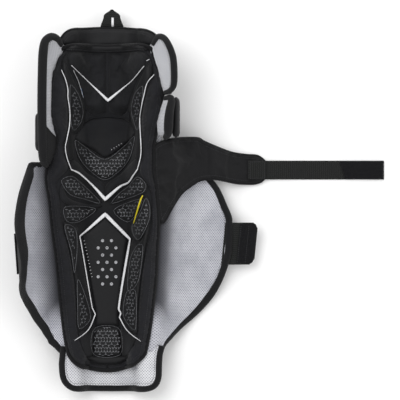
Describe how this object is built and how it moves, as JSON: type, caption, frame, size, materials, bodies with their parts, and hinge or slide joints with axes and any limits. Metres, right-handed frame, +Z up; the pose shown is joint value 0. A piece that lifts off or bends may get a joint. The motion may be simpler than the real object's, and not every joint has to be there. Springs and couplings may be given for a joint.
{
  "type": "ice hockey shin guard",
  "caption": "Right-leg ice hockey shin guard lying on its hard caps, its padded liner facing up, with folding calf wraps, knee wings, a long closing strap and a lift-out liner.",
  "frame": {"origin": "middle of the bounding box in X and Y, on the floor that the hard caps rest on", "axes": "+Y from ankle to knee along the leg channel, +X from the channel towards the side that the long strap leaves from, +Z up out of the open leg channel"},
  "size_m": [0.4917, 0.505, 0.1249],
  "materials": {
    "cap": "satin moulded shell",
    "fabric": "black woven nylon over foam",
    "liner": "soft black brushed knit over foam",
    "mesh": "light grey spacer mesh",
    "binding": "black edge binding tape",
    "webbing": "black ribbed webbing",
    "hook": "black hook-and-loop tape",
    "reflective": "light printed or piped trim",
    "rivet": "satin grey rivet head"
  },
  "bodies": {
    "guard": {"shin_cap": "cap", "knee_cap": "cap", "rivet_shin_left_lower": "rivet", "rivet_shin_left_upper": "rivet", "rivet_knee_left": "rivet", "rivet_shin_right_lower": "rivet", "rivet_shin_right_upper": "rivet", "rivet_knee_right": "rivet", "base_foam": "fabric", "base_lining": "mesh", "hook_strip_upper": "hook", "hook_strip_lower": "hook", "strap_root_patch": "fabric"},
    "calf_wrap_left": {"calf_cover_left": "fabric", "calf_foam_left": "fabric", "calf_lining_left": "mesh", "calf_binding_left": "binding", "loop_patch_left": "hook"},
    "calf_wrap_right": {"calf_cover_right": "fabric", "calf_foam_right": "fabric", "calf_lining_right": "mesh", "calf_binding_right": "binding"},
    "closure_tab": {"closure_elastic": "webbing", "closure_hook": "hook"},
    "strap_pad": {"strap_pad": "fabric", "strap_anchor": "webbing"},
    "strap_web": {"strap_webbing": "webbing"},
    "strap_tip": {"strap_tip": "webbing", "strap_hook_tape": "hook"},
    "knee_wing_left": {"knee_wing_left": "fabric", "knee_lining_left": "mesh", "side_guard_left": "fabric"},
    "knee_wing_right_upper": {"knee_wing_right_upper": "fabric", "knee_lining_right_upper": "mesh"},
    "knee_wing_right_lower": {"knee_wing_right_lower": "fabric", "knee_lining_right_lower": "mesh", "side_guard_right": "fabric"},
    "thigh_flap": {"thigh_pad": "fabric", "thigh_cap": "cap"},
    "pull_tab": {"pull_tab": "webbing", "pull_tab_stripe": "reflective"},
    "ankle_flap": {"ankle_foam": "fabric", "ankle_lining": "mesh", "ankle_binding": "binding"},
    "liner": {"loop_strip_upper": "hook", "loop_strip_lower": "hook", "liner_backing": "liner", "liner_thigh_left": "liner", "liner_thigh_right": "liner", "liner_knee_cup": "liner", "liner_chevron": "liner", "liner_shin": "liner", "liner_ankle": "liner", "liner_roll_knee_right": "liner", "liner_roll_knee_left": "liner", "liner_roll_shin_right": "liner", "liner_roll_shin_left": "liner"}
  },
  "joints": [
    {"name": "calf_wrap_left_fold", "type": "hinge", "parent": "guard", "child": "calf_wrap_left", "pos_m": [-0.189, -0.197, 0.0364], "axis": [-0.0657, 0.9948, 0.078], "range_deg": [-60, 45]},
    {"name": "calf_wrap_right_fold", "type": "hinge", "parent": "guard", "child": "calf_wrap_right", "pos_m": [-0.042, 0.03, 0.0542], "axis": [-0.0657, -0.9948, -0.078], "range_deg": [0, 92]},
    {"name": "closure_tab_fold", "type": "hinge", "parent": "calf_wrap_right", "child": "closure_tab", "pos_m": [0.0334, -0.058, 0.0235], "axis": [0, -1, 0], "range_deg": [-20, 60]},
    {"name": "strap_pad_fold", "type": "hinge", "parent": "calf_wrap_right", "child": "strap_pad", "pos_m": [-0.038, 0.04, 0.058], "axis": [0, -1, 0], "range_deg": [0, 20]},
    {"name": "strap_web_fold", "type": "hinge", "parent": "strap_pad", "child": "strap_web", "pos_m": [0.088, 0.04, 0.0026], "axis": [0, -1, 0], "range_deg": [0, 70]},
    {"name": "strap_tip_fold", "type": "hinge", "parent": "strap_web", "child": "strap_tip", "pos_m": [0.189, 0.04, 0.0016], "axis": [0, -1, 0], "range_deg": [0, 70]},
    {"name": "knee_wing_left_fold", "type": "hinge", "parent": "guard", "child": "knee_wing_left", "pos_m": [-0.2025, 0.05, 0.0575], "axis": [-0.0156, 0.9998, 0.0094], "range_deg": [-30, 6]},
    {"name": "knee_wing_right_upper_fold", "type": "hinge", "parent": "guard", "child": "knee_wing_right_upper", "pos_m": [-0.041, 0.21, 0.059], "axis": [-0.0156, -0.9998, -0.0094], "range_deg": [-30, 6]},
    {"name": "knee_wing_right_lower_fold", "type": "hinge", "parent": "guard", "child": "knee_wing_right_lower", "pos_m": [-0.0435, 0.05, 0.0575], "axis": [-0.0156, -0.9998, -0.0094], "range_deg": [-30, 6]},
    {"name": "thigh_flap_fold", "type": "hinge", "parent": "guard", "child": "thigh_flap", "pos_m": [-0.123, 0.207, 0.038], "axis": [1, 0, 0], "range_deg": [-12, 12]},
    {"name": "pull_tab_fold", "type": "hinge", "parent": "thigh_flap", "child": "pull_tab", "pos_m": [-0.117, 0.2313, 0.0255], "axis": [1, 0, 0], "range_deg": [-30, 60]},
    {"name": "ankle_flap_fold", "type": "hinge", "parent": "guard", "child": "ankle_flap", "pos_m": [-0.123, -0.2285, 0.02], "axis": [-1, 0, 0], "range_deg": [-9, 12]},
    {"name": "liner_lift", "type": "slide", "parent": "guard", "child": "liner", "axis": [0, 0, -1], "range_m": [-0.1, 0]}
  ]
}
